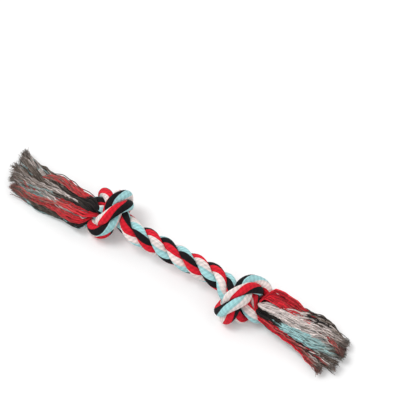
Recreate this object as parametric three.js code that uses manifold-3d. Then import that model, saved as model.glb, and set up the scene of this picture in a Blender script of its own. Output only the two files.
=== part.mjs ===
// Rope dog toy: a three strand cotton rope with two overhand knots and frayed ends.
// Every strand is laid from four bundles of yarn, one red, one black, one white, one aqua.
// A bundle runs unbroken from one tassel through both knots to the other tassel.
// Millimetres. The rope lies along X, +Z is up, and the knots rest on the floor at z = 0.

import * as THREE from 'three';
import { mergeVertices } from 'three/addons/utils/BufferGeometryUtils.js';
import Module from 'manifold-3d';

const wasm = await Module();
wasm.setup();

// Driving sizes
const strandDiameter = 10.2;
const layLength = 51;
const knotLayLength = 90;
const yarnTwistLength = 47;
const knotTwistLength = 76;
const knotMiddleA = -71;
const knotSwayA = -2;
const knotMiddleB = 80;
const knotSwayB = 6;
const axisHeight = 21.5;
const bodySwayA = -0.5;
const bodySwayB = 9;
const tailSway = 10;
const tailHeight = 16;
const tasselEndA = -183;
const tasselSwayA = -15.5;
const tasselEndB = 182.5;
const tasselSwayB = 16;
const bundleGap = 0.7;
const strandGap = 0.55;
const floorCut = strandDiameter / 10;

// The three strand centres lie on a circle inside the rope
const layRadiusShare = 0.56;
const layRadius = layRadiusShare * strandDiameter;
const ropeDiameter = 2 * layRadius + strandDiameter;
const strandRadius = strandDiameter / 2;

const bundleColours = [
  { name: 'white', colour: '#f0e8e2', roughness: 0.95 },
  { name: 'aqua', colour: '#96d2d7', roughness: 0.93 },
  { name: 'black', colour: '#1c1a1e', roughness: 0.9 },
  { name: 'red', colour: '#d8202f', roughness: 0.92 },
];
const strandNames = ['first', 'second', 'third'];
const strandCount = strandNames.length;
const quarter = Math.PI / 2;
const turn = 2 * Math.PI;

// Half of an overhand knot, from its middle crossing out to one end, in shares of the rope's
// diameter. The other half is the same half turned half a turn about the knot's own Z.
const knotHalfShares = [
  [0, 0, 0.55],
  [-0.27, -0.55, 0.5],
  [-0.55, -0.85, 0.05],
  [-0.68, -0.7, -0.6],
  [-0.58, -0.2, -1.1],
  [-0.27, 0.25, -1.1],
  [0.07, 0.45, -0.7],
  [0.34, 0.1, -0.25],
  [0.7, -0.1, 0],
];
const knotA = { middle: knotMiddleA, sway: knotSwayA, roll: 70, yaw: 30 };
const knotB = { middle: knotMiddleB, sway: knotSwayB, roll: -10, yaw: 25 };

// Where the held parts of the rope begin, and where its strands end, from a knot's middle
const outerHoldShare = 1;
const innerHoldShare = 1.15;
const straightShare = 1.15;
const strandEndShare = 1.3;

const degrees = Math.PI / 180;

function knotPoints({ middle, sway, roll, yaw }) {
  const mirrored = knotHalfShares.slice(1).reverse().map(([x, y, z]) => [-x, -y, z]);
  const turned = new THREE.Euler(roll * degrees, 0, yaw * degrees, 'ZYX');
  return [...mirrored, ...knotHalfShares].map(([x, y, z]) =>
    new THREE.Vector3(x, y, z)
      .multiplyScalar(ropeDiameter)
      .applyEuler(turned)
      .add(new THREE.Vector3(middle, sway, axisHeight)),
  );
}

// The loose rope, as it is before the knots are drawn tight. The body meets each knot near its
// middle, and the tails leave lower down, to the front at one end and to the back at the other.
function looseRoute() {
  const straight = straightShare * ropeDiameter;
  const strandEnd = strandEndShare * ropeDiameter;
  const middle = (knotA.middle + knotB.middle) / 2;
  return [
    new THREE.Vector3(knotA.middle - strandEnd, -tailSway, tailHeight),
    new THREE.Vector3(knotA.middle - straight, -tailSway, tailHeight),
    ...knotPoints(knotA),
    new THREE.Vector3(knotA.middle + straight, bodySwayA, axisHeight),
    new THREE.Vector3(middle, (bodySwayA + bodySwayB) / 2, axisHeight),
    new THREE.Vector3(knotB.middle - straight, bodySwayB, axisHeight),
    ...knotPoints(knotB),
    new THREE.Vector3(knotB.middle + straight, tailSway, tailHeight),
    new THREE.Vector3(knotB.middle + strandEnd, tailSway, tailHeight),
  ];
}

// Tangents and side vectors along a list of points, carried along without twist
function carriedFrames(points) {
  const frames = [];
  for (let i = 0; i < points.length; i += 1) {
    const before = points[Math.max(i - 1, 0)];
    const after = points[Math.min(i + 1, points.length - 1)];
    const tangent = after.clone().sub(before).normalize();
    const side = i === 0 ? new THREE.Vector3(0, 0, 1) : frames[i - 1].side.clone();
    side.addScaledVector(tangent, -side.dot(tangent)).normalize();
    frames.push({ tangent, side, across: tangent.clone().cross(side) });
  }
  return frames;
}

function pathLength(points) {
  let length = 0;
  for (let i = 1; i < points.length; i += 1) length += points[i].distanceTo(points[i - 1]);
  return length;
}

// Points at even steps along a polyline
function evenPoints(points, count) {
  const travelled = [0];
  for (let i = 1; i < points.length; i += 1) {
    travelled.push(travelled[i - 1] + points[i].distanceTo(points[i - 1]));
  }
  const whole = travelled[points.length - 1];
  const even = [];
  let at = 1;
  for (let i = 0; i < count; i += 1) {
    const want = (whole * i) / (count - 1);
    while (at < points.length - 1 && travelled[at] < want) at += 1;
    const share = (want - travelled[at - 1]) / (travelled[at] - travelled[at - 1]);
    even.push(points[at - 1].clone().lerp(points[at], share));
  }
  return even;
}

// Lay three strands round the loose rope. The lay is open in the knots and at the ends.
const stepLength = 2.4;
const curvePieces = 24;
const blendSteps = 5;
const layPhaseShare = 0.08;

function layStrands() {
  const curve = new THREE.CatmullRomCurve3(looseRoute(), false, 'catmullrom');
  const fine = curve.getPoints(curvePieces * (curve.points.length - 1));
  const length = pathLength(fine);
  const count = Math.floor(length / stepLength) + 1;
  const rope = evenPoints(fine, count);
  const frames = carriedFrames(rope);
  const middle = (knotA.middle + knotB.middle) / 2;
  const centre = rope.reduce((best, p, i) =>
    (Math.abs(p.x - middle) < Math.abs(rope[best].x - middle) ? i : best), 0);
  const lastBefore = (x) => rope.findLastIndex((p, i) => i < centre && p.x < x);
  const firstAfter = (x) => rope.findIndex((p, i) => i > centre && p.x > x);
  const heldOut = outerHoldShare * ropeDiameter;
  const heldIn = innerHoldShare * ropeDiameter;
  const holds = {
    startEnd: lastBefore(knotA.middle - heldOut),
    bodyStart: lastBefore(knotA.middle + heldIn) + 1,
    bodyEnd: firstAfter(knotB.middle - heldIn) - 1,
    finishStart: firstAfter(knotB.middle + heldOut),
  };
  const turnsPerLength = rope.map((p, i) => {
    if (i < holds.startEnd || i >= holds.finishStart) return 0;
    return i < holds.bodyStart || i >= holds.bodyEnd ? 1 / knotLayLength : 1 / layLength;
  });
  const smoothed = turnsPerLength.map((_, i) => {
    let sum = 0;
    for (let k = -blendSteps; k <= blendSteps; k += 1) {
      sum += turnsPerLength[Math.min(Math.max(i + k, 0), count - 1)];
    }
    return sum / (2 * blendSteps + 1);
  });
  const angles = [0];
  const step = length / (count - 1);
  for (let i = 1; i < count; i += 1) {
    angles.push(angles[i - 1] + (turn * step * (smoothed[i] + smoothed[i - 1])) / 2);
  }
  const strands = strandNames.map((_, k) => rope.map((p, i) => {
    const angle = turn * (k / strandCount + layPhaseShare) + angles[i] - angles[centre];
    return p.clone()
      .addScaledVector(frames[i].side, layRadius * Math.cos(angle))
      .addScaledVector(frames[i].across, layRadius * Math.sin(angle));
  }));
  return { strands, holds, count };
}

// Draw the knots tight: each strand shortens like a stretched band while strands that touch
// push each other apart. The body of the rope and its ends are held.
const rounds = 350;
const growRounds = 150;
const startSizeShare = 0.55;
const tension = 0.25;
const contactPasses = 6;
const listEvery = 8;
const crossingShare = 0.65;
const neighbourShare = 0.84;
const searchShare = 1.15;
const besideShare = 2.6;
const ownShare = 1.5;
const smoothPasses = 4;

function drawTight({ strands, holds, count }) {
  const total = strandCount * count;
  const place = new Float64Array(3 * total);
  strands.forEach((points, k) => points.forEach((p, i) => p.toArray(place, 3 * (k * count + i))));
  const free = new Uint8Array(total);
  for (let n = 0; n < total; n += 1) {
    const i = n % count;
    const inA = i > holds.startEnd && i < holds.bodyStart;
    const inB = i > holds.bodyEnd && i < holds.finishStart;
    free[n] = inA || inB ? 1 : 0;
  }
  const besideSteps = Math.floor((besideShare * strandDiameter) / stepLength);
  const ownSteps = Math.floor((ownShare * strandDiameter) / stepLength);
  const reach = (searchShare * strandDiameter) ** 2;
  const lowest = strandRadius - floorCut;
  let pairs = [];
  const listPairs = () => {
    pairs = [];
    for (let m = 0; m < total; m += 1) {
      for (let n = m + 1; n < total; n += 1) {
        if (!free[m] && !free[n]) continue;
        const apart = Math.abs((m % count) - (n % count));
        const sameStrand = Math.floor(m / count) === Math.floor(n / count);
        if (sameStrand && apart <= ownSteps) continue;
        const dx = place[3 * n] - place[3 * m];
        const dy = place[3 * n + 1] - place[3 * m + 1];
        const dz = place[3 * n + 2] - place[3 * m + 2];
        if (dx * dx + dy * dy + dz * dz > reach) continue;
        const share = apart > besideSteps ? crossingShare : neighbourShare;
        pairs.push([m, n, share * strandDiameter]);
      }
    }
  };
  const push = new Float64Array(3 * total);
  const touches = new Uint16Array(total);
  for (let round = 0; round < rounds; round += 1) {
    const size = Math.min(1, startSizeShare + ((1 - startSizeShare) * round) / growRounds);
    const was = place.slice();
    for (let n = 0; n < total; n += 1) {
      if (!free[n]) continue;
      for (let axis = 0; axis < 3; axis += 1) {
        const here = 3 * n + axis;
        place[here] += tension * ((was[here - 3] + was[here + 3]) / 2 - was[here]);
      }
    }
    if (round % listEvery === 0) listPairs();
    for (let pass = 0; pass < contactPasses; pass += 1) {
      push.fill(0);
      touches.fill(0);
      for (const [m, n, limit] of pairs) {
        const dx = place[3 * n] - place[3 * m];
        const dy = place[3 * n + 1] - place[3 * m + 1];
        const dz = place[3 * n + 2] - place[3 * m + 2];
        const distance = Math.hypot(dx, dy, dz);
        if (distance >= limit * size) continue;
        const half = (limit * size - distance) / distance / 2;
        push[3 * m] -= dx * half;
        push[3 * m + 1] -= dy * half;
        push[3 * m + 2] -= dz * half;
        push[3 * n] += dx * half;
        push[3 * n + 1] += dy * half;
        push[3 * n + 2] += dz * half;
        touches[m] += 1;
        touches[n] += 1;
      }
      for (let n = 0; n < total; n += 1) {
        if (!free[n]) continue;
        if (touches[n]) {
          for (let axis = 0; axis < 3; axis += 1) place[3 * n + axis] += push[3 * n + axis] / touches[n];
        }
        place[3 * n + 2] = Math.max(place[3 * n + 2], lowest);
      }
    }
  }
  for (let pass = 0; pass < smoothPasses; pass += 1) {
    const was = place.slice();
    for (let n = 0; n < total; n += 1) {
      if (n % count === 0 || n % count === count - 1) continue;
      for (let axis = 0; axis < 3; axis += 1) {
        const here = 3 * n + axis;
        place[here] = (was[here - 3] + 2 * was[here] + was[here + 3]) / 4;
      }
    }
  }
  return strands.map((points, k) => points.map((_, i) =>
    new THREE.Vector3().fromArray(place, 3 * (k * count + i))));
}

// Bundles. A strand's section is a circle, pressed flat where another strand lies against it:
// no point of it is nearer to another strand than to its own middle line.
const ringLength = 6;
const stationsPerRing = 3;
const nearStations = 2;
const rimShares = [0, 0.5, 1];
const searchRadii = 3.2;
const ownReachRadii = 3;
const leastFacing = 0.02;
const leastRadiusShare = 0.3;
const mergeTolerance = 1e-5;
const strandPhases = [0.685, 0.837, 0.052];

// Stations along a strand, each with the turns that its yarns have made round it. Past the body
// the yarns turn more slowly, because the knots open their twist.
function strandStations(points, holds) {
  const length = pathLength(points);
  const bodyStart = pathLength(points.slice(0, holds.bodyStart + 1));
  const bodyEnd = pathLength(points.slice(0, holds.bodyEnd + 1));
  const rings = Math.round(length / ringLength);
  const spaced = evenPoints(points, rings * stationsPerRing + 1);
  const frames = carriedFrames(spaced);
  return spaced.map((centre, i) => {
    const along = (length * i) / (spaced.length - 1);
    const inBody = Math.min(Math.max(along, bodyStart), bodyEnd);
    const twist = -inBody / yarnTwistLength - (along - inBody) / knotTwistLength;
    return { centre, ...frames[i], along, twist };
  });
}

function rimLimit(stations, all, index, direction) {
  const { centre, along } = stations[index];
  let limit = strandRadius;
  for (const other of all) {
    for (const near of other) {
      if (other === stations && Math.abs(near.along - along) < ownReachRadii * strandRadius) continue;
      const dx = near.centre.x - centre.x;
      const dy = near.centre.y - centre.y;
      const dz = near.centre.z - centre.z;
      const distance = Math.hypot(dx, dy, dz);
      if (distance > searchRadii * strandRadius) continue;
      const facing = (dx * direction.x + dy * direction.y + dz * direction.z) / distance;
      if (facing > leastFacing) limit = Math.min(limit, (distance - strandGap) / 2 / facing);
    }
  }
  return Math.max(limit, leastRadiusShare * strandRadius);
}

function sectionDirection({ side, across }, angle) {
  return side.clone().multiplyScalar(Math.cos(angle)).addScaledVector(across, Math.sin(angle));
}

// The angle at which a strand's first bundle starts at a station
const bundleAngle = (phase, station) => turn * (phase + station.twist);

// One ring of a bundle: its inner corner, then its rim
function bundleRing(stations, all, index, start) {
  const station = stations[index];
  const wall = bundleGap / 2 / strandRadius;
  const corner = sectionDirection(station, start + quarter / 2);
  const ring = [station.centre.clone().addScaledVector(corner, bundleGap * Math.SQRT1_2)];
  for (const share of rimShares) {
    const angle = start + wall + share * (quarter - 2 * wall);
    let radius = strandRadius;
    for (let k = index - nearStations; k <= index + nearStations; k += 1) {
      if (k < 0 || k >= stations.length) continue;
      radius = Math.min(radius, rimLimit(stations, all, k, sectionDirection(stations[k], angle)));
    }
    ring.push(station.centre.clone().addScaledVector(sectionDirection(station, angle), radius));
  }
  return ring;
}

// A closed tube through rings of equal counts, the ends closed by fans. The last wall is split
// the other way, so that it matches the first wall of the tube beside it.
function tubeGeometry(rings) {
  const width = rings[0].length;
  const positions = rings.flat().flatMap((p) => [p.x, p.y, p.z]);
  const faces = [];
  for (let r = 0; r < rings.length - 1; r += 1) {
    for (let k = 0; k < width; k += 1) {
      const a = r * width + k;
      const b = r * width + ((k + 1) % width);
      if (k < width - 1) faces.push(a, b, b + width, a, b + width, a + width);
      else faces.push(a, b, a + width, b, b + width, a + width);
    }
  }
  const last = (rings.length - 1) * width;
  for (let k = 1; k < width - 1; k += 1) {
    faces.push(0, k + 1, k, last, last + k, last + k + 1);
  }
  const geometry = new THREE.BufferGeometry();
  geometry.setAttribute('position', new THREE.Float32BufferAttribute(positions, 3));
  geometry.setIndex(faces);
  return geometry;
}

function toSolid(geometry) {
  const bare = mergeVertices(geometry, mergeTolerance);
  return new wasm.Manifold(new wasm.Mesh({
    numProp: 3,
    vertProperties: new Float32Array(bare.attributes.position.array),
    triVerts: new Uint32Array(bare.index.array),
  }));
}

function toGeometry(solid) {
  const { vertProperties, triVerts } = solid.getMesh();
  const geometry = new THREE.BufferGeometry();
  geometry.setAttribute('position', new THREE.BufferAttribute(new Float32Array(vertProperties), 3));
  geometry.setIndex(new THREE.BufferAttribute(new Uint32Array(triVerts), 1));
  return geometry;
}

// Tassels. Past the knot the strands open, and each bundle parts into locks of yarn that fan
// out sideways and sink to the floor. A lock keeps its place in the rope's section, so no two
// locks cross.
const lockRootShares = [
  { out: 0.36, round: 0.5 },
  { out: 0.72, round: 0.24 },
  { out: 0.72, round: 0.76 },
];
const lockHalfShare = 0.155;
const rootSlimShare = 0.6;
const fan = [
  { along: 0.14, sideways: 1.4, upward: 1.12, plump: 1.05 },
  { along: 0.5, sideways: 1.75, upward: 1, plump: 1 },
  { along: 1, sideways: 2.15, upward: 0.8, plump: 0.45 },
];
const sinkShare = 0.45;
const leaveShare = 0.4;
const raggedShare = 0.08;
const slantShareA = 0.05;
const slantShareB = -0.03;
const goldenShare = (Math.sqrt(5) - 1) / 2;
const tipHeight = (fan[fan.length - 1].upward * ropeDiameter) / 2 - floorCut / 2;

const up = new THREE.Vector3(0, 0, 1);

// A repeatable share from 0 to 1 for each whole number
const scatter = (number) => (number * goldenShare) % 1;

function tasselAxis(start, end, outward) {
  const reach = Math.abs(end.x - start.x);
  const bend = start.clone().addScaledVector(outward, leaveShare * reach);
  bend.z -= sinkShare * (start.z - tipHeight);
  return new THREE.QuadraticBezierCurve3(start, bend, end);
}

// The slant is the share by which the yarns at one edge are longer than those in the middle
function makeTassel(strands, pick, end, sway, slant) {
  const ends = strands.map((stations) => stations[pick(stations, 0)]);
  const start = new THREE.Vector3();
  ends.forEach(({ centre }) => start.addScaledVector(centre, 1 / strandCount));
  const outward = new THREE.Vector3(Math.sign(end - start.x), 0, 0);
  const tip = new THREE.Vector3(end, sway, tipHeight);
  return { pick, start, outward, slant, axis: tasselAxis(start, tip, outward) };
}

function squareRing(middle, sideways, halfSide, halfUp) {
  return [[-1, -1], [1, -1], [1, 1], [-1, 1]].map(([s, u]) =>
    middle.clone().addScaledVector(sideways, s * halfSide).addScaledVector(up, u * halfUp));
}

// A strand's station turned so that its section faces straight out of the tassel
function facingOut({ centre, tangent, side, twist }, outward) {
  const straight = outward.clone().multiplyScalar(Math.sign(tangent.dot(outward)));
  const flatSide = side.clone().addScaledVector(straight, -side.dot(straight)).normalize();
  return { centre, side: flatSide, across: straight.cross(flatSide), twist };
}

function lockGeometry(tassel, stations, phase, bundle, root, seed) {
  const half = lockHalfShare * strandRadius;
  const placeAt = (station) => {
    const start = bundleAngle(phase, station) + bundle * quarter;
    return station.centre.clone().addScaledVector(
      sectionDirection(station, start + root.round * quarter), root.out * strandRadius);
  };
  const firstSide = up.clone().cross(tassel.outward);
  const slim = rootSlimShare * half;
  const [last, beforeLast] = [0, 1].map((back) => stations[tassel.pick(stations, back)]);
  const rings = [beforeLast, last].map((station) => squareRing(placeAt(station), firstSide, slim, slim));
  const offset = placeAt(facingOut(last, tassel.outward)).sub(tassel.start);
  const across = offset.dot(firstSide);
  const height = offset.dot(up);
  const edge = (2 * offset.y) / ropeDiameter;
  const reach = 1 - raggedShare * scatter(seed) - Math.abs(tassel.slant) + tassel.slant * edge;
  for (const { along, sideways, upward, plump } of fan) {
    const t = Math.min(along * reach, 1);
    const tangent = tassel.axis.getTangent(t);
    const side = up.clone().cross(tangent).normalize();
    const middle = tassel.axis.getPoint(t)
      .addScaledVector(side, across * sideways)
      .addScaledVector(up, height * upward);
    rings.push(squareRing(middle, side, half * plump * sideways, half * plump * upward));
  }
  return tubeGeometry(rings);
}

// The floor the knots and tassels rest on, as a slab that cuts them flat
function floorSlab() {
  const length = 2 * (tasselEndB - tasselEndA);
  const geometry = new THREE.BoxGeometry(length, length, length);
  geometry.translate(0, 0, -length / 2);
  geometry.deleteAttribute('normal');
  geometry.deleteAttribute('uv');
  return toSolid(geometry);
}

const laid = layStrands();
const tightStrands = drawTight(laid).map((points) => strandStations(points, laid.holds));
const tassels = [
  makeTassel(tightStrands, (_, back) => back, tasselEndA, tasselSwayA, slantShareA),
  makeTassel(
    tightStrands, (stations, back) => stations.length - 1 - back,
    tasselEndB, tasselSwayB, slantShareB),
];
const slab = floorSlab();

function makeBundle(strand, bundle) {
  const stations = tightStrands[strand];
  const phase = strandPhases[strand];
  const rings = [];
  for (let i = 0; i < stations.length; i += stationsPerRing) {
    const start = bundleAngle(phase, stations[i]) + bundle * quarter;
    rings.push(bundleRing(stations, tightStrands, i, start));
  }
  let solid = toSolid(tubeGeometry(rings));
  tassels.forEach((tassel, end) => lockRootShares.forEach((root, k) => {
    const lock = bundleColours.length * (strandCount * end + strand) + bundle;
    const seed = lockRootShares.length * lock + k;
    solid = solid.add(toSolid(lockGeometry(tassel, stations, phase, bundle, root, seed)));
  }));
  return solid.subtract(slab);
}

const toy = new THREE.Group();
strandNames.forEach((strandName, strand) => {
  bundleColours.forEach(({ name, colour, roughness }, bundle) => {
    const material = new THREE.MeshStandardMaterial({ color: colour, roughness, metalness: 0 });
    const mesh = new THREE.Mesh(toGeometry(makeBundle(strand, bundle)), material);
    mesh.name = `${strandName}_strand_${name}_yarns`;
    toy.add(mesh);
  });
});

export default toy;
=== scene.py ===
import math

import bpy
import numpy as np
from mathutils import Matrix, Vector


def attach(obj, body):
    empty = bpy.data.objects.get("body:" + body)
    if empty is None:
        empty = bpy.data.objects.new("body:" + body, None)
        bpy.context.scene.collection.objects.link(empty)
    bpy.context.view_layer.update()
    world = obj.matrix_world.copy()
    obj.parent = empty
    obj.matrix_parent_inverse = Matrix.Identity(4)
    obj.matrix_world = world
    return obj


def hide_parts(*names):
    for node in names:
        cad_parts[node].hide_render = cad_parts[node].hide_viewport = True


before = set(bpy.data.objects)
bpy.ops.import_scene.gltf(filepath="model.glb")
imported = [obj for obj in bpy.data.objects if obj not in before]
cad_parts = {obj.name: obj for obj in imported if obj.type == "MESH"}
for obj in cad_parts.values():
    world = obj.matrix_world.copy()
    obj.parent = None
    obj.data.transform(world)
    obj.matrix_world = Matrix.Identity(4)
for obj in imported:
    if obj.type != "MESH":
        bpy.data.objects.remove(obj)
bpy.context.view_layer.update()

MM = 0.001
TURN = 2 * math.pi
QUARTER = TURN / 4

# Rope dog toy: three cotton strands laid into a rope, with an overhand knot near each end and
# a tassel of loose yarns past each knot. Lengths are in metres, and the route and the way the
# knots are drawn tight are those of the CAD model.

# Sizes of the rope, as in the CAD model
strand_diameter = 10.2 * MM
lay_length = 51 * MM
knot_lay_length = 90 * MM
yarn_twist_length = 47 * MM
knot_twist_length = 76 * MM
knot_middle_a = -71 * MM
knot_sway_a = -2 * MM
knot_middle_b = 80 * MM
knot_sway_b = 6 * MM
axis_height = 21.5 * MM
body_sway_a = -0.5 * MM
body_sway_b = 9 * MM
tail_sway = 10 * MM
tail_height = 16 * MM
floor_cut = strand_diameter / 10

lay_radius_share = 0.56
lay_radius = lay_radius_share * strand_diameter
strand_radius = strand_diameter / 2
rope_diameter = 2 * lay_radius + strand_diameter
strand_names = ("first", "second", "third")
colour_names = ("white", "aqua", "black", "red")

# Camera: the photograph looks down on the toy through a long lens
camera_azimuth = math.radians(38.3)
camera_elevation = math.radians(58)
camera_distance = 2500 * MM
camera_reach = 4 * camera_distance
camera_sensor = 36 * MM
field_width = 363 * MM
aim_right = 27 * MM
aim_up = 61.7 * MM

camera_right = Vector((math.cos(camera_azimuth), math.sin(camera_azimuth), 0))
camera_back = Vector((
    math.sin(camera_azimuth) * math.cos(camera_elevation),
    -math.cos(camera_azimuth) * math.cos(camera_elevation),
    math.sin(camera_elevation),
))
camera_up = camera_back.cross(camera_right)


def make_camera():
    data = bpy.data.cameras.new("camera")
    data.sensor_width = camera_sensor / MM
    data.lens = data.sensor_width * camera_distance / field_width
    data.clip_end = camera_reach
    camera = bpy.data.objects.new("camera", data)
    bpy.context.scene.collection.objects.link(camera)
    target = camera_right * aim_right + camera_up * aim_up
    camera.location = target + camera_back * camera_distance
    camera.rotation_euler = camera_back.to_track_quat("Z", "Y").to_euler()
    bpy.context.scene.camera = camera


# Half of an overhand knot, from its middle crossing out to one end, in shares of the rope's
# diameter. The other half is the same half turned half a turn about the knot's own Z.
knot_half_shares = np.array([
    (0, 0, 0.55),
    (-0.27, -0.55, 0.5),
    (-0.55, -0.85, 0.05),
    (-0.68, -0.7, -0.6),
    (-0.58, -0.2, -1.1),
    (-0.27, 0.25, -1.1),
    (0.07, 0.45, -0.7),
    (0.34, 0.1, -0.25),
    (0.7, -0.1, 0),
])
knot_a = {
    "place": (knot_middle_a, knot_sway_a, axis_height),
    "roll": math.radians(70),
    "yaw": math.radians(30),
}
knot_b = {
    "place": (knot_middle_b, knot_sway_b, axis_height),
    "roll": math.radians(-10),
    "yaw": math.radians(25),
}
outer_hold_share = 1
inner_hold_share = 1.15
straight_share = 1.15
strand_end_share = 1.3


def unit(vectors):
    return vectors / np.linalg.norm(vectors, axis=-1, keepdims=True)


def knot_points(knot):
    """The loose knot's route: its half and its turned half, rolled, yawed and put in place."""
    mirrored = (knot_half_shares[1:] * (-1, -1, 1))[::-1]
    x, y, z = np.vstack([mirrored, knot_half_shares]).T
    rolled_y = y * math.cos(knot["roll"]) - z * math.sin(knot["roll"])
    rolled_z = y * math.sin(knot["roll"]) + z * math.cos(knot["roll"])
    turned_x = x * math.cos(knot["yaw"]) - rolled_y * math.sin(knot["yaw"])
    turned_y = x * math.sin(knot["yaw"]) + rolled_y * math.cos(knot["yaw"])
    turned = np.stack([turned_x, turned_y, rolled_z], axis=1)
    return turned * rope_diameter + knot["place"]


def loose_route():
    """The loose rope, before its knots are drawn tight."""
    straight = straight_share * rope_diameter
    strand_end = strand_end_share * rope_diameter
    middle = (knot_middle_a + knot_middle_b) / 2
    return np.vstack([
        (knot_middle_a - strand_end, -tail_sway, tail_height),
        (knot_middle_a - straight, -tail_sway, tail_height),
        knot_points(knot_a),
        (knot_middle_a + straight, body_sway_a, axis_height),
        (middle, (body_sway_a + body_sway_b) / 2, axis_height),
        (knot_middle_b - straight, body_sway_b, axis_height),
        knot_points(knot_b),
        (knot_middle_b + straight, tail_sway, tail_height),
        (knot_middle_b + strand_end, tail_sway, tail_height),
    ])


def catmull_rom(points, pieces):
    """A smooth curve through the points, with a number of pieces between each two of them."""
    padded = np.vstack([2 * points[0] - points[1], points, 2 * points[-1] - points[-2]])
    t = (np.arange(pieces) / pieces)[:, None]
    curve = []
    for p0, p1, p2, p3 in zip(padded, padded[1:], padded[2:], padded[3:]):
        square = (2 * p0 - 5 * p1 + 4 * p2 - p3) * t**2
        cube = (3 * p1 - p0 - 3 * p2 + p3) * t**3
        curve.append((2 * p1 + (p2 - p0) * t + square + cube) / 2)
    return np.vstack([*curve, points[-1]])


def travelled(points):
    """The distance along a polyline at each of its points."""
    return np.r_[0, np.cumsum(np.linalg.norm(np.diff(points, axis=0), axis=1))]


def even_points(points, count):
    along = travelled(points)
    wanted = np.linspace(0, along[-1], count)
    return np.stack([np.interp(wanted, along, points[:, k]) for k in range(3)], axis=1)


def carried_frames(points):
    """Tangents and side vectors along lines of points, carried along without twist.

    points is (stations, 3), or (lines, stations, 3) for many lines at once."""
    tangents = np.empty_like(points)
    tangents[..., 1:-1, :] = points[..., 2:, :] - points[..., :-2, :]
    tangents[..., 0, :] = points[..., 1, :] - points[..., 0, :]
    tangents[..., -1, :] = points[..., -1, :] - points[..., -2, :]
    tangents = unit(tangents)
    sides = np.empty_like(points)
    side = np.zeros_like(points[..., 0, :])
    side[..., 2] = 1
    for i in range(points.shape[-2]):
        tangent = tangents[..., i, :]
        side = unit(side - tangent * np.sum(side * tangent, axis=-1, keepdims=True))
        sides[..., i, :] = side
    return tangents, sides, np.cross(tangents, sides)


# Laying the strands round the loose rope
step_length = 2.4 * MM
curve_pieces = 24
blend_steps = 5
lay_phase_share = 0.08


def lay_strands():
    fine = catmull_rom(loose_route(), curve_pieces)
    length = travelled(fine)[-1]
    count = int(length / step_length) + 1
    rope = even_points(fine, count)
    _, sides, across = carried_frames(rope)
    x = rope[:, 0]
    index = np.arange(count)
    centre = int(np.argmin(np.abs(x - (knot_middle_a + knot_middle_b) / 2)))
    held_out = outer_hold_share * rope_diameter
    held_in = inner_hold_share * rope_diameter
    before = index < centre
    after = index > centre
    holds = (
        np.flatnonzero(before & (x < knot_middle_a - held_out)).max(),
        np.flatnonzero(before & (x < knot_middle_a + held_in)).max() + 1,
        np.flatnonzero(after & (x > knot_middle_b - held_in)).min() - 1,
        np.flatnonzero(after & (x > knot_middle_b + held_out)).min(),
    )
    turns = np.full(count, 1 / lay_length)
    turns[holds[0]:holds[1]] = 1 / knot_lay_length
    turns[holds[2]:holds[3]] = 1 / knot_lay_length
    turns[:holds[0]] = 0
    turns[holds[3]:] = 0
    window = 2 * blend_steps + 1
    smoothed = np.convolve(np.pad(turns, blend_steps, mode="edge"), np.ones(window) / window, "valid")
    step = length / (count - 1)
    angles = np.r_[0, np.cumsum(TURN * step * (smoothed[1:] + smoothed[:-1]) / 2)]
    angles -= angles[centre]
    strands = []
    for k in range(len(strand_names)):
        angle = (TURN * (k / len(strand_names) + lay_phase_share) + angles)[:, None]
        strands.append(rope + lay_radius * (np.cos(angle) * sides + np.sin(angle) * across))
    return np.array(strands), holds


# Drawing the knots tight
rounds = 350
grow_rounds = 150
start_size_share = 0.55
tension = 0.25
contact_passes = 6
list_every = 8
crossing_share = 0.65
neighbour_share = 0.84
search_share = 1.15
beside_share = 2.6
own_share = 1.5
smooth_passes = 4


def possible_contacts(count, free):
    """Pairs of points that may touch, and how far apart each pair is kept."""
    first, second = np.triu_indices(len(strand_names) * count, 1)
    apart = np.abs(first % count - second % count)
    same_strand = first // count == second // count
    own_steps = int(own_share * strand_diameter / step_length)
    beside_steps = int(beside_share * strand_diameter / step_length)
    kept = (free[first] | free[second]) & ~(same_strand & (apart <= own_steps))
    limits = np.where(apart > beside_steps, crossing_share, neighbour_share) * strand_diameter
    return first[kept], second[kept], limits[kept]


def push_apart(place, free, pairs, size):
    first, second, limits = pairs
    between = place[second] - place[first]
    distances = np.linalg.norm(between, axis=1)
    near = distances < limits * size
    first, second, between, distances = first[near], second[near], between[near], distances[near]
    half = ((limits[near] * size - distances) / distances / 2)[:, None] * between
    pushes = np.zeros_like(place)
    np.add.at(pushes, first, -half)
    np.add.at(pushes, second, half)
    touches = np.bincount(np.r_[first, second], minlength=len(place))
    moved = free & (touches > 0)
    place[moved] += pushes[moved] / touches[moved, None]
    lowest = strand_radius - floor_cut
    place[free, 2] = np.maximum(place[free, 2], lowest)


def draw_tight(strands, holds):
    """Each strand shortens like a stretched band while strands that touch push each other
    apart. The rope's body and its ends are held."""
    count = strands.shape[1]
    index = np.arange(count)
    in_a = (index > holds[0]) & (index < holds[1])
    in_b = (index > holds[2]) & (index < holds[3])
    free = np.tile(in_a | in_b, len(strand_names))
    movers = np.flatnonzero(free)
    place = strands.reshape(-1, 3).copy()
    first, second, limits = possible_contacts(count, free)
    for round_index in range(rounds):
        size = min(1, start_size_share + (1 - start_size_share) * round_index / grow_rounds)
        pull = (place[movers - 1] + place[movers + 1]) / 2 - place[movers]
        place[movers] += tension * pull
        if round_index % list_every == 0:
            squares = np.sum((place[second] - place[first]) ** 2, axis=1)
            near = squares <= (search_share * strand_diameter) ** 2
            pairs = (first[near], second[near], limits[near])
        for _ in range(contact_passes):
            push_apart(place, free, pairs, size)
    tight = place.reshape(strands.shape)
    for _ in range(smooth_passes):
        tight[:, 1:-1] = (tight[:, :-2] + 2 * tight[:, 1:-1] + tight[:, 2:]) / 4
    return tight


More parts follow.
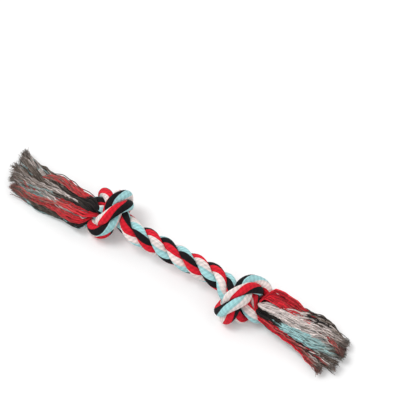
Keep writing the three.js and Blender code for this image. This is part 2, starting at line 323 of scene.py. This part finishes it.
# A strand's section is a circle, pressed flat where another strand lies against it
station_step = 1.5 * MM
section_angles = 64
strand_gap = 0.15 * MM
search_radii = 3.2
own_reach_radii = 3
least_facing = 0.02
least_radius_share = 0.4
rim_smooth_stations = 3


def strand_stations(points, holds):
    """Stations along a strand, each with the turns that its yarns have made round it.

    Past the body the yarns turn more slowly, as in the CAD model."""
    lengths = travelled(points)
    centres = even_points(points, round(lengths[-1] / station_step) + 1)
    tangents, sides, across = carried_frames(centres)
    along = np.linspace(0, lengths[-1], len(centres))
    in_body = np.clip(along, lengths[holds[1]], lengths[holds[2]])
    twist = -in_body / yarn_twist_length - (along - in_body) / knot_twist_length
    return {
        "centres": centres, "tangents": tangents, "sides": sides, "across": across,
        "along": along, "twist": twist,
    }


def rim_limits(stations, everything):
    """How far a strand's section may reach at each station and angle."""
    angles = TURN * np.arange(section_angles) / section_angles
    limits = np.full((len(stations["along"]), section_angles), strand_radius)
    for i, (centre, along) in enumerate(zip(stations["centres"], stations["along"])):
        side = stations["sides"][i]
        across = stations["across"][i]
        directions = np.cos(angles)[:, None] * side + np.sin(angles)[:, None] * across
        for other in everything:
            between = other["centres"] - centre
            distances = np.linalg.norm(between, axis=1)
            near = distances < search_radii * strand_radius
            if other is stations:
                near &= np.abs(other["along"] - along) >= own_reach_radii * strand_radius
            if not near.any():
                continue
            facing = (between[near] / distances[near, None]) @ directions.T
            reach = (distances[near, None] - strand_gap) / 2 / np.maximum(facing, least_facing)
            reach[facing <= least_facing] = strand_radius
            limits[i] = np.minimum(limits[i], reach.min(axis=0))
    limits = np.maximum(limits, least_radius_share * strand_radius)
    window = 2 * rim_smooth_stations + 1
    padded = np.pad(limits, ((rim_smooth_stations, rim_smooth_stations), (0, 0)), mode="edge")
    return sum(padded[k:k + len(limits)] for k in range(window)) / window


def rim_radius(stations, angles):
    """How far the section reaches at one angle for each station, for one line or many."""
    places = (angles / TURN % 1) * section_angles
    low = np.floor(places).astype(int)
    share = places - low
    rows = np.arange(len(stations["along"]))
    limits = stations["limits"]
    here = limits[rows, low % section_angles]
    after = limits[rows, (low + 1) % section_angles]
    return here * (1 - share) + after * share


def section_points(stations, angles, radii, rows=slice(None)):
    """Points at these angles round a strand, and this far from its centre line."""
    sides = stations["sides"][rows]
    across = stations["across"][rows]
    reach = np.cos(angles)[..., None] * sides + np.sin(angles)[..., None] * across
    return stations["centres"][rows] + radii[..., None] * reach


# Where round each strand its first bundle starts, in turns
strand_phases = (0.685, 0.837, 0.052)


def bundle_start(stations, strand, bundle):
    """The angle at which a colour's bundle starts, at each station of its strand."""
    return TURN * (strand_phases[strand] + stations["twist"]) + bundle * QUARTER


# Meshes of many round yarns
def tube_rings(lines, radii, sides_count):
    """Ring points round many lines at once: (lines, stations, sides, 3)."""
    _, sides, across = carried_frames(lines)
    angles = TURN * np.arange(sides_count) / sides_count
    wide = np.cos(angles)[:, None] * sides[..., None, :]
    wide = wide + np.sin(angles)[:, None] * across[..., None, :]
    return lines[..., None, :] + radii[..., None, None] * wide


def ring_faces(stations_count, sides_count):
    """Quads between the rings of one tube, and a fan of corners at each end."""
    ring = np.arange(sides_count)
    after = np.roll(ring, -1)
    rows = np.arange(stations_count - 1)[:, None] * sides_count
    corners = (rows + ring, rows + after, rows + after + sides_count, rows + ring + sides_count)
    walls = np.stack(corners, axis=-1)
    last = (stations_count - 1) * sides_count
    return walls.reshape(-1, 4), ring[::-1], last + ring


class YarnMesh:
    """Collects tubes into one mesh, with what each yarn's material needs to know."""

    def __init__(self):
        self.points = []
        self.quads = []
        self.caps = []
        self.yarn = []
        self.tint_and_shade = []
        self.count = 0

    def add(self, rings, along, tone, tint_and_shade):
        """Rings are (lines, stations, sides, 3). The way along and the share of painted shade and
        duller tint are given for each line and station, and the tone for each line."""
        lines, stations_count, sides_count, _ = rings.shape
        quads, first_cap, last_cap = ring_faces(stations_count, sides_count)
        around = np.arange(sides_count) / sides_count
        for k in range(lines):
            self.points.append(rings[k].reshape(-1, 3))
            self.quads.append(quads + self.count)
            self.caps += [first_cap + self.count, last_cap + self.count]
            yarn = np.empty((stations_count, sides_count, 3))
            yarn[..., 0] = along[k][:, None] / MM
            yarn[..., 1] = around
            yarn[..., 2] = tone[k]
            self.yarn.append(yarn.reshape(-1, 3))
            self.tint_and_shade.append(np.repeat(tint_and_shade[k], sides_count))
            self.count += stations_count * sides_count

    def make(self, name):
        mesh = bpy.data.meshes.new(name)
        faces = np.vstack(self.quads).tolist() + [cap.tolist() for cap in self.caps]
        mesh.from_pydata(np.vstack(self.points).tolist(), [], faces)
        mesh.shade_smooth()
        yarn = mesh.attributes.new("yarn", "FLOAT_VECTOR", "POINT")
        yarn.data.foreach_set("vector", np.vstack(self.yarn).ravel())
        # How far each point is mixed towards the dark brown-grey: painted shade and a duller tint
        tint_and_shade = mesh.attributes.new("tint_and_shade", "FLOAT", "POINT")
        tint_and_shade.data.foreach_set("value", np.concatenate(self.tint_and_shade))
        piece = bpy.data.objects.new(name, mesh)
        bpy.context.scene.collection.objects.link(piece)
        return piece


# Cotton yarn
plies = 2
ply_pitch = 3.2 * MM
ply_depth = 0.12 * MM
ply_bump_share = 0.7
bump_strength = 0.8
fibre_lanes = 4
fibre_scale = 6
fibre_detail = 2
mottle_scale = 220
mottle_detail = 3
cotton_roughness = 0.92
cotton_specular = 0.12
sheen_roughness = 0.6

# How light a yarn is by its tone, across its plies (painted shade in the grooves between them) and
# over its mottling
tone_values = (0.3, 1.5)
ply_groove_shade_values = (0.78, 1.06)
mottle_values = (0.86, 1.12)

yarn_colours = {
    "white": (0.93, 0.82, 0.79, 1),
    "aqua": (0.40, 0.71, 0.73, 1),
    "black": (0.011, 0.010, 0.012, 1),
    "red": (0.78, 0.014, 0.034, 1),
}
sheen_weights = {"white": 0.12, "aqua": 0.12, "black": 0.03, "red": 0.06}
# Dark brown-grey for the loose yarns: painted shade among them and at their tips, with a duller tint
tint_and_shade_colour = (0.21, 0.165, 0.135, 1)


def node(tree, kind, inputs=None, **settings):
    made = tree.nodes.new(kind)
    for name, value in settings.items():
        setattr(made, name, value)
    for name, value in (inputs or {}).items():
        if isinstance(value, bpy.types.NodeSocket):
            tree.links.new(value, made.inputs[name])
        else:
            made.inputs[name].default_value = value
    return made


def math_node(tree, operation, *values):
    return node(tree, "ShaderNodeMath", dict(enumerate(values)), operation=operation).outputs[0]


def mapped(tree, value, limits):
    """A value that goes from 0 to 1, spread from the first limit to the second."""
    inputs = {"Value": value, "To Min": limits[0], "To Max": limits[1]}
    return node(tree, "ShaderNodeMapRange", inputs).outputs[0]


def cotton(name):
    """Loosely spun cotton yarn: plies twisted together, mottled, a little fuzzy."""
    material = bpy.data.materials.new(f"{name}_cotton")
    material.use_nodes = True
    tree = material.node_tree
    shader = tree.nodes["Principled BSDF"]
    shader.inputs["Roughness"].default_value = cotton_roughness
    shader.inputs["Specular IOR Level"].default_value = cotton_specular
    shader.inputs["Sheen Weight"].default_value = sheen_weights[name]
    shader.inputs["Sheen Roughness"].default_value = sheen_roughness
    yarn = node(tree, "ShaderNodeAttribute", attribute_name="yarn")
    tint_and_shade = node(tree, "ShaderNodeAttribute", attribute_name="tint_and_shade")
    along, around, tone = node(tree, "ShaderNodeSeparateXYZ", {0: yarn.outputs["Vector"]}).outputs
    # The plies wind round each other along the yarn, and their wave is turned into 0 to 1
    turns = math_node(tree, "DIVIDE", along, ply_pitch / MM)
    wound = math_node(tree, "ADD", turns, math_node(tree, "MULTIPLY", around, plies))
    wave = math_node(tree, "SINE", math_node(tree, "MULTIPLY", wound, TURN))
    ply = math_node(tree, "MULTIPLY_ADD", wave, 0.5, 0.5)
    lane = math_node(tree, "MULTIPLY", around, fibre_lanes)
    place = node(tree, "ShaderNodeCombineXYZ", {0: wound, 1: lane, 2: tone}).outputs[0]
    fibre_inputs = {"Vector": place, "Scale": fibre_scale, "Detail": fibre_detail}
    fibre = node(tree, "ShaderNodeTexNoise", fibre_inputs).outputs["Fac"]
    mottle_inputs = {"Scale": mottle_scale, "Detail": mottle_detail}
    mottle = node(tree, "ShaderNodeTexNoise", mottle_inputs).outputs["Fac"]
    # Each yarn took the dye a little differently
    tone_value = mapped(tree, tone, tone_values)
    # Darker in the grooves between the plies: painted shade
    value = math_node(tree, "MULTIPLY", tone_value, mapped(tree, ply, ply_groove_shade_values))
    value = math_node(tree, "MULTIPLY", value, mapped(tree, mottle, mottle_values))
    # Loose yarns are mixed towards the dark brown-grey: painted shade, and a duller tint
    mix = {"Fac": tint_and_shade.outputs["Fac"], "Color1": yarn_colours[name], "Color2": tint_and_shade_colour}
    tinted_and_shaded = node(tree, "ShaderNodeMixRGB", mix).outputs[0]
    dyed_and_shaded = node(tree, "ShaderNodeHueSaturation", {"Value": value, "Color": tinted_and_shaded})
    tree.links.new(dyed_and_shaded.outputs[0], shader.inputs["Base Color"])
    height = math_node(tree, "MULTIPLY_ADD", ply, ply_bump_share, fibre)
    relief = {"Height": height, "Distance": ply_depth, "Strength": bump_strength}
    tree.links.new(node(tree, "ShaderNodeBump", relief).outputs[0], shader.inputs["Normal"])
    return material


# Yarns of the strands
outer_yarns = 7
yarn_radius = 0.62 * MM
yarn_sides = 6
core_rim_points = 5
core_sink_share = 1.1
# The inner yarns get a darker tone: painted shade where they show between the outer yarns
core_shade_tone = 0.2
rope_tones = (0.43, 0.7)
wander_share = 0.16
wander_length = 23 * MM
seed = 11

random = np.random.default_rng(seed)

# A wander is a sum of waves, each with its rate and weight, and the rates vary by line
wave_rates = np.array([[1], [1.9], [3.1]])
wave_weights = np.array([[0.6], [0.3], [0.15]])
wave_rate_shares = (0.6, 1.5)


def slow_noise(lines, along, length):
    """A smooth wander from about -1 to 1 for each line."""
    waves = len(wave_rates)
    phases = random.uniform(0, TURN, (lines, waves, 1))
    rates = random.uniform(*wave_rate_shares, (lines, waves, 1)) * wave_rates
    angles = TURN * rates * along[..., None, :] / length + phases
    return np.sum(wave_weights * np.sin(angles), axis=1)


def outer_lines(stations, strand, bundle):
    """Centre lines of the yarns that show on a bundle's rim: (yarns, stations, 3)."""
    along = stations["along"]
    start = bundle_start(stations, strand, bundle)
    shares = (np.arange(outer_yarns) + 0.5) / outer_yarns
    wander = slow_noise(outer_yarns, along, wander_length) * wander_share
    angles = start + QUARTER * (shares[:, None] + wander / outer_yarns)
    radii = rim_radius(stations, angles) - yarn_radius
    radii += slow_noise(outer_yarns, along, wander_length) * wander_share * yarn_radius
    lines = section_points(stations, angles, radii)
    lines[..., 2] = np.maximum(lines[..., 2], yarn_radius)
    return lines


def core_rings(stations, strand, bundle, rows):
    """A bundle's inner yarns as one filled quarter of the strand, just under the outer yarns."""
    start = bundle_start(stations, strand, bundle)
    shares = np.linspace(0, 1, core_rim_points)
    angles = start + QUARTER * shares[:, None]
    radii = rim_radius(stations, angles) - core_sink_share * yarn_radius
    rim = section_points(stations, angles, radii)
    rings = np.concatenate([stations["centres"][None], rim], axis=0)
    rings[..., 2] = np.maximum(rings[..., 2], 0)
    return np.swapaxes(rings, 0, 1)[rows][None]


# Tassels. Past its knot each bundle opens into a ribbon of loose yarns. Each run of three
# values is at the knot, at the middle and at the tips.
tassel_yarns = 36
tassel_stations = 44
tassel_sides = 5
tassel_yarn_radius = 0.44 * MM
exit_share = 0.35
middle_share = 0.4
bundle_area = 23 * MM**2
least_half_height = 0.8 * MM
most_half_height = 3.2 * MM


def ribbon_shape(place_shares, heights, spread_shares):
    """A ribbon's place across the tassel, from -1 at its near edge to 1 at its far edge, its
    heights in millimetres, and half its width as shares of half the tassel's width."""
    return {"place": place_shares, "height": np.array(heights) * MM, "spread": spread_shares}


ribbons_a = {
    ("second", "red"): ribbon_shape((0.75, 1.05, 0.3), (18, 18.5, -7), (0.3, 0.32, 0.2)),
    ("second", "white"): ribbon_shape((0.4, 0.2, -0.25), (22, 17, 9), (0.12, 0.1, 0.3)),
    ("second", "black"): ribbon_shape((0.5, 0.7, 0.95), (30, 15, 8.5), (0.3, 0.3, 0.3)),
    ("second", "aqua"): ribbon_shape((0.5, 0.6, 0.6), (20, 12, 8.5), (0.25, 0.35, 0.5)),
    ("third", "white"): ribbon_shape((0.3, 0.55, 0.65), (20, 13.5, 9.5), (0.25, 0.4, 0.5)),
    ("third", "black"): ribbon_shape((0.3, 0.12, 0.3), (28, 16.5, 9), (0.34, 0.24, 0.6)),
    ("third", "aqua"): ribbon_shape((0, -0.12, -0.75), (21, 15, 8), (0.15, 0.2, 0.3)),
    ("first", "white"): ribbon_shape((-0.6, -0.25, -0.65), (18, 14.5, 8), (0.15, 0.25, 0.3)),
    ("third", "red"): ribbon_shape((-0.1, -0.35, -0.85), (26, 16, 7), (0.32, 0.24, 0.25)),
    ("first", "red"): ribbon_shape((-0.6, -0.75, -0.95), (21, 12, 6), (0.42, 0.3, 0.2)),
    ("first", "black"): ribbon_shape((-0.85, -1, -0.95), (16, 9, 6), (0.2, 0.1, 0.1)),
    ("first", "aqua"): ribbon_shape((-0.75, -0.95, -0.95), (14, 6, 4), (0.12, 0.1, 0.1)),
}
ribbons_b = {
    ("first", "red"): ribbon_shape((0.7, 0.9, 0.7), (30, 15.5, 2), (0.4, 0.22, 0.12)),
    ("second", "red"): ribbon_shape((0.4, 0.5, 0.35), (30, 14, 12.5), (0.42, 0.2, 0.1)),
    ("second", "white"): ribbon_shape((-0.4, -0.12, 0.7), (23, 17, 9), (0.1, 0.34, 0.35)),
    ("first", "white"): ribbon_shape((-0.3, 0.3, 0.8), (20, 16, 10.5), (0.18, 0.4, 0.35)),
    ("first", "black"): ribbon_shape((0.7, 0.78, 0.85), (15, 14, 10), (0.35, 0.32, 0.3)),
    ("first", "aqua"): ribbon_shape((0.5, 0.65, 0.75), (12, 9.5, 7), (0.3, 0.35, 0.35)),
    ("second", "aqua"): ribbon_shape((-0.6, -0.6, 0.2), (12, 15, 9), (0.12, 0.24, 0.25)),
    ("third", "aqua"): ribbon_shape((-0.6, -0.6, 0.1), (10, 14, 8.5), (0.14, 0.26, 0.28)),
    ("second", "black"): ribbon_shape((-0.5, -0.64, -0.05), (24, 14, 11), (0.36, 0.3, 0.36)),
    ("third", "red"): ribbon_shape((-0.9, -0.9, -0.75), (18, 14, 8), (0.16, 0.16, 0.35)),
    ("third", "black"): ribbon_shape((-0.7, -0.76, -0.55), (16, 9, 6), (0.16, 0.16, 0.4)),
    ("third", "white"): ribbon_shape((-0.7, -0.76, -0.7), (14, 11, 9), (0.15, 0.18, 0.3)),
}

# A tassel's middle line and half its width, at the knot, at the middle and at the tips, and
# its tufts: each tuft's place across the tips, and how far it reaches from the knot's middle
tassel_a = {
    "name": "left",
    "knot": knot_middle_a,
    "outward": -1,
    "ribbons": ribbons_a,
    "line": (-9 * MM, -10.5 * MM, -8.5 * MM),
    "half_width": (14.5 * MM, 14.5 * MM, 17.5 * MM),
    "tuft_shares": (-0.95, -0.45, 0.05, 0.6, 1),
    "tuft_reaches": (92 * MM, 100 * MM, 106 * MM, 105 * MM, 107 * MM),
    # How far the loose yarns are mixed towards painted shade and a duller tint
    "tint_and_shade": 0.5,
}
tassel_b = {
    "name": "right",
    "knot": knot_middle_b,
    "outward": 1,
    "ribbons": ribbons_b,
    "line": (12 * MM, 17.5 * MM, 15 * MM),
    "half_width": (13.5 * MM, 17 * MM, 20.5 * MM),
    "tuft_shares": (-0.9, -0.4, 0.2, 0.8),
    "tuft_reaches": (90 * MM, 99 * MM, 98 * MM, 93 * MM),
    # How far the loose yarns are mixed towards painted shade and a duller tint
    "tint_and_shade": 0.28,
}
blend_share = 0.12
tuft_share = 0.45
tuft_start = 0.7
tuft_round_share = 0.25
ragged_share = 0.04
stray_share = 0.1
stray_height = 3.5 * MM
wave_length = 14 * MM
wave_height = 0.5 * MM
drift_length = 2 * wave_length
bend_length = 55 * MM
bend_width = 1.3 * MM
bend_height = bend_width / 2
crimp_share = 0.6
phase_scatter = 0.12
pitch_scatter = 0.08
core_yarn_radius = 3.2 * MM
inner_angle_shares = (0.1, 0.9)
inner_area_shares = (0.02, 1)


def exit_x(tassel):
    """The x at which the strands open into a tassel."""
    return tassel["knot"] + tassel["outward"] * exit_share * rope_diameter


def strand_exit(stations, tassel):
    """The station at which a strand opens into a tassel."""
    x = stations["centres"][:, 0]
    if tassel["outward"] < 0:
        return int(np.flatnonzero(x > exit_x(tassel)).min())
    return int(np.flatnonzero(x < exit_x(tassel)).max())


def run_through(values, t):
    """A smooth run through three values, at the knot, at the middle and at the tips."""
    first, middle, last = values
    m = middle_share
    at_first = (t - m) * (t - 1) / m
    at_middle = t * (t - 1) / (m * (m - 1))
    at_last = t * (t - m) / (1 - m)
    return first * at_first + middle * at_middle + last * at_last


def disc_places(count):
    """Places spread over a unit disc."""
    angles = random.uniform(0, TURN, count)
    radii = np.sqrt(random.uniform(0, 1, count))
    return (radii * np.cos(angles))[:, None], (radii * np.sin(angles))[:, None]


def rise(t, start):
    """0 up to start, and then an even rise to 1."""
    return np.clip((t - start) / (1 - start), 0, 1)


def eased(t, start):
    """0 up to start, and then a smooth rise to 1."""
    share = rise(t, start)
    return share**2 * (3 - 2 * share)


def ribbon_lines(tassel, ribbon, t):
    """Where a ribbon's yarns lie, before they are joined to their strand."""
    start_x = exit_x(tassel)
    sideways, upward = disc_places(tassel_yarns)
    half_width = run_through(tassel["half_width"], t)
    spread = run_through(ribbon["spread"], t)
    half = spread * half_width
    half_height = np.clip(bundle_area / math.pi / half, least_half_height, most_half_height)
    place = run_through(ribbon["place"], t)
    # Each yarn's tip is drawn towards the nearest tuft, and a tuft's end is rounded
    tip_place = ribbon["place"][2] + ribbon["spread"][2] * sideways
    tuft_places = np.array(tassel["tuft_shares"])
    tuft_tips = tassel["knot"] + tassel["outward"] * np.array(tassel["tuft_reaches"])
    nearest = np.argmin(np.abs(tip_place - tuft_places), axis=1)
    beside = tuft_places[nearest][:, None] - tip_place
    gathered = tuft_share * beside * eased(t, tuft_start)
    length = np.abs(tuft_tips[nearest] - start_x)[:, None]
    ragged = random.uniform(0, 1, (tassel_yarns, 1)) ** 2
    missing = tuft_round_share * beside**2 + ragged_share * ragged
    reach = tuft_tips[nearest][:, None] - tassel["outward"] * missing * length
    x = start_x + (reach - start_x) * t
    y = run_through(tassel["line"], t) + (place + gathered) * half_width + half * sideways
    z = run_through(ribbon["height"], t) + half_height * upward
    # A few yarns stray out of their ribbon
    stray = stray_height * (random.uniform(0, 1, (tassel_yarns, 1)) < stray_share) * t**2
    y += stray * random.uniform(-1, 1, (tassel_yarns, 1))
    z += stray * random.uniform(-1, 1, (tassel_yarns, 1))
    return np.stack(np.broadcast_arrays(x, y, z), axis=-1)


def tassel_lines(tassel, stations, exit_row, strand, bundle, outer):
    """Centre lines of one bundle's loose yarns, each starting where it leaves its strand."""
    ribbon = tassel["ribbons"][strand_names[strand], colour_names[bundle]]
    outward = tassel["outward"]
    inner_count = tassel_yarns - outer_yarns
    begin = bundle_start(stations, strand, bundle)[exit_row]
    inner_angles = begin + QUARTER * random.uniform(*inner_angle_shares, inner_count)
    inner_radii = core_yarn_radius * np.sqrt(random.uniform(*inner_area_shares, inner_count))
    inner = section_points(stations, inner_angles, inner_radii, exit_row)
    starts = np.vstack([outer[:, exit_row], inner])
    ahead = unit(outer[:, exit_row + outward] - outer[:, exit_row])
    inner_ahead = np.tile(stations["tangents"][exit_row] * outward, (inner_count, 1))
    tangents = np.vstack([ahead, inner_ahead])
    t = np.linspace(0, 1, tassel_stations)[None]
    lines = ribbon_lines(tassel, ribbon, t)
    length = np.linalg.norm(lines[:, -1] - lines[:, 0], axis=-1)[:, None]
    # Leave the strand in its own direction, and join the ribbon further out
    ramp = np.clip(t / blend_share, 0, 1)
    share = ramp[..., None]
    offset = starts[:, None] - lines[:, :1]
    slope = tangents[:, None] * length[..., None] - (lines[:, 1:2] - lines[:, :1]) / t[0, 1]
    lines += offset * (2 * share**3 - 3 * share**2 + 1)
    lines += slope * blend_share * (share**3 - 2 * share**2 + share)
    along = t * length
    # The ribbon bends as a whole, and its yarns keep the waves of their lay
    bend_y = np.sin(TURN * (along / bend_length + random.uniform(0, 1)))
    bend_z = np.sin(TURN * (along / bend_length + random.uniform(0, 1)))
    lines[..., 1] += ramp * bend_width * bend_y
    lines[..., 2] += ramp * bend_height * bend_z
    phases = random.uniform(0, 1) + random.normal(0, phase_scatter, (tassel_yarns, 1))
    pitches = wave_length * random.normal(1, pitch_scatter, (tassel_yarns, 1))
    crimp = ramp * wave_height * crimp_share * (1 + t)
    lines[..., 1] += crimp * np.sin(TURN * (along / pitches + phases))
    lines[..., 2] += crimp * np.cos(TURN * (along / pitches + phases))
    drift = slow_noise(tassel_yarns, along, drift_length)
    lines[..., 1] += drift * ramp * wave_height
    lines[..., 2] = np.maximum(lines[..., 2], tassel_yarn_radius)
    return lines, along, np.broadcast_to(t, along.shape)


# Loose yarns are mixed towards a dark brown-grey, most of all at their tips: painted shade among the
# loose yarns, and a duller tint than those in the rope
tint_and_shade_scatter = 0.25
tint_and_shade_power = 1.5
tip_tint_and_shade = 0.85
tip_start = 0.6

# Frayed tips: a yarn thins, and its end opens into a few fine fibres
thin_start = 0.9
thin_share = 0.35
tip_fibres = 4
tip_fibre_stations = 6
tip_fibre_sides = 3
tip_fibre_length = 5 * MM
tip_fibre_radius = 0.26 * MM
tip_fibre_end_share = 0.5
tip_length_shares = (0.4, 1)
tip_root_share = 0.3
tip_spread = 1 * MM
tip_spread_power = 1.5
tip_stations_back = 3


def tip_lines(lines):
    """Centre lines of the fibres at the yarns' ends. They start a little inside the yarns."""
    ends = lines[:, -1]
    ahead = unit(ends - lines[:, -1 - tip_stations_back])
    t = np.linspace(-tip_root_share, 1, tip_fibre_stations)
    fibres = []
    for _ in range(tip_fibres):
        lengths = tip_fibre_length * random.uniform(*tip_length_shares, (len(lines), 1, 1))
        sideways = random.normal(0, tip_spread, (len(lines), 1, 3))
        run = ends[:, None] + ahead[:, None] * lengths * t[:, None]
        fibres.append(run + sideways * np.abs(t[:, None]) ** tip_spread_power)
    every = np.concatenate(fibres)
    every[..., 2] = np.maximum(every[..., 2], tip_fibre_radius)
    return every


def finish_piece(piece, strand, bundle, material):
    piece.data.materials.append(material)
    colour = colour_names[bundle]
    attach(piece, "root")
    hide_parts(f"{strand_names[strand]}_strand_{colour}_yarns")


def make_bundle(strand, bundle, stations, exits, material):
    """The part of a bundle that lies in the rope and its knots."""
    name = f"{strand_names[strand]}_strand_{colour_names[bundle]}"
    rows = slice(exits[0], exits[1] + 1)
    outer = outer_lines(stations, strand, bundle)
    yarns = YarnMesh()
    shown = outer[:, rows]
    radii = np.full(shown.shape[:2], yarn_radius)
    along = np.tile(stations["along"][rows], (outer_yarns, 1))
    tones = random.uniform(*rope_tones, outer_yarns)
    yarns.add(tube_rings(shown, radii, yarn_sides), along, tones, np.zeros_like(along))
    core = core_rings(stations, strand, bundle, rows)
    # Darker tone for the inner yarns: painted shade between the outer yarns
    yarns.add(core, along[:1], np.array([core_shade_tone]), np.zeros_like(along[:1]))
    piece = yarns.make(f"{name}_yarns_in_rope")
    finish_piece(piece, strand, bundle, material)
    return piece, outer, tones


def make_lock(tassel, strand, bundle, stations, exit_row, outer, tones, material):
    """A bundle's loose yarns in one tassel."""
    name = f"{strand_names[strand]}_strand_{colour_names[bundle]}_{tassel['name']}_tassel"
    lines, along, t = tassel_lines(tassel, stations, exit_row, strand, bundle, outer)
    radii = yarn_radius + (tassel_yarn_radius - yarn_radius) * np.clip(t / blend_share, 0, 1)
    radii *= 1 - thin_share * rise(t, thin_start)
    all_tones = np.concatenate([tones, random.uniform(0, 1, tassel_yarns - outer_yarns)])
    # Painted shade and a duller tint along the loose yarns, strongest at their tips
    scattered_tint_and_shade = tassel["tint_and_shade"] + random.normal(0, tint_and_shade_scatter, (len(t), 1))
    tint_and_shade = scattered_tint_and_shade * np.clip(t / tip_start, 0, 1)
    tint_and_shade += (tip_tint_and_shade - tassel["tint_and_shade"]) * rise(t, tip_start) ** tint_and_shade_power
    tint_and_shade = np.clip(tint_and_shade, 0, 1)
    yarns = YarnMesh()
    yarns.add(tube_rings(lines, radii, tassel_sides), along, all_tones, tint_and_shade)
    fibres = tip_lines(lines)
    fibre_radii = np.full(fibres.shape[:2], tip_fibre_radius)
    fibre_radii *= np.linspace(1, tip_fibre_end_share, tip_fibre_stations)
    fibre_along = np.tile(np.linspace(0, tip_fibre_length, tip_fibre_stations), (len(fibres), 1))
    fibre_tones = np.tile(all_tones, tip_fibres)
    # The fibres at the tips are mostly the dark brown-grey: painted shade at the tassel's ends
    fibre_tint_and_shade = np.full(fibres.shape[:2], tip_tint_and_shade)
    fibre_rings = tube_rings(fibres, fibre_radii, tip_fibre_sides)
    yarns.add(fibre_rings, fibre_along, fibre_tones, fibre_tint_and_shade)
    piece = yarns.make(name)
    finish_piece(piece, strand, bundle, material)
    return piece


def make_toy():
    laid, holds = lay_strands()
    stations = [strand_stations(line, holds) for line in draw_tight(laid, holds)]
    for one in stations:
        one["limits"] = rim_limits(one, stations)
    materials = {name: cotton(name) for name in colour_names}
    tassels = (tassel_a, tassel_b)
    exits = [[strand_exit(one, tassel) for tassel in tassels] for one in stations]
    for strand, one in enumerate(stations):
        for bundle, colour in enumerate(colour_names):
            piece, outer, tones = make_bundle(strand, bundle, one, exits[strand], materials[colour])
            for tassel, exit_row in zip(tassels, exits[strand]):
                lock = make_lock(
                    tassel, strand, bundle, one, exit_row, outer, tones, materials[colour])


# Stage and light
floor_size = 6
floor_colour = (0.86, 0.86, 0.86, 1)
floor_lift = 0.12
world_strength = 0.78
background_strength = 1
background_colour = (1, 1, 1, 1)
sun_strength = 1.25
sun_angle = math.radians(25)
sun_direction = Vector((-0.35, -0.25, 1))


def background_rays(tree):
    """1 for the rays by which the camera sees the background, also in gloss or through glass."""
    path = node(tree, "ShaderNodeLightPath")
    direct = path.outputs["Is Camera Ray"]
    mirrored = math_node(tree, "MAXIMUM", direct, path.outputs["Is Glossy Ray"])
    return math_node(tree, "MAXIMUM", mirrored, path.outputs["Is Transmission Ray"])


def make_stage():
    data = bpy.data.meshes.new("floor")
    half = floor_size / 2
    corners = [(-half, -half, 0), (half, -half, 0), (half, half, 0), (-half, half, 0)]
    data.from_pydata(corners, [], [(0, 1, 2, 3)])
    floor = bpy.data.objects.new("floor", data)
    bpy.context.scene.collection.objects.link(floor)
    material = bpy.data.materials.new("floor")
    material.use_nodes = True
    tree = material.node_tree
    tree.nodes.remove(tree.nodes["Principled BSDF"])
    diffuse = node(tree, "ShaderNodeBsdfDiffuse", {"Color": floor_colour})
    lift_strength = math_node(tree, "MULTIPLY", background_rays(tree), floor_lift)
    lift = node(tree, "ShaderNodeEmission", {"Strength": lift_strength})
    both = node(tree, "ShaderNodeAddShader", {0: diffuse.outputs[0], 1: lift.outputs[0]})
    tree.links.new(both.outputs[0], tree.nodes["Material Output"].inputs["Surface"])
    data.materials.append(material)


def make_light():
    world = bpy.data.worlds.new("studio")
    bpy.context.scene.world = world
    world.use_nodes = True
    tree = world.node_tree
    strength = mapped(tree, background_rays(tree), (world_strength, background_strength))
    tree.links.new(strength, tree.nodes["Background"].inputs["Strength"])
    tree.nodes["Background"].inputs["Color"].default_value = background_colour
    data = bpy.data.lights.new("sun", "SUN")
    data.energy = sun_strength
    data.angle = sun_angle
    sun = bpy.data.objects.new("sun", data)
    bpy.context.scene.collection.objects.link(sun)
    sun.rotation_euler = sun_direction.to_track_quat("Z", "Y").to_euler()


make_camera()
make_toy()
make_stage()
make_light()
bpy.context.scene.view_settings.view_transform = "Standard"
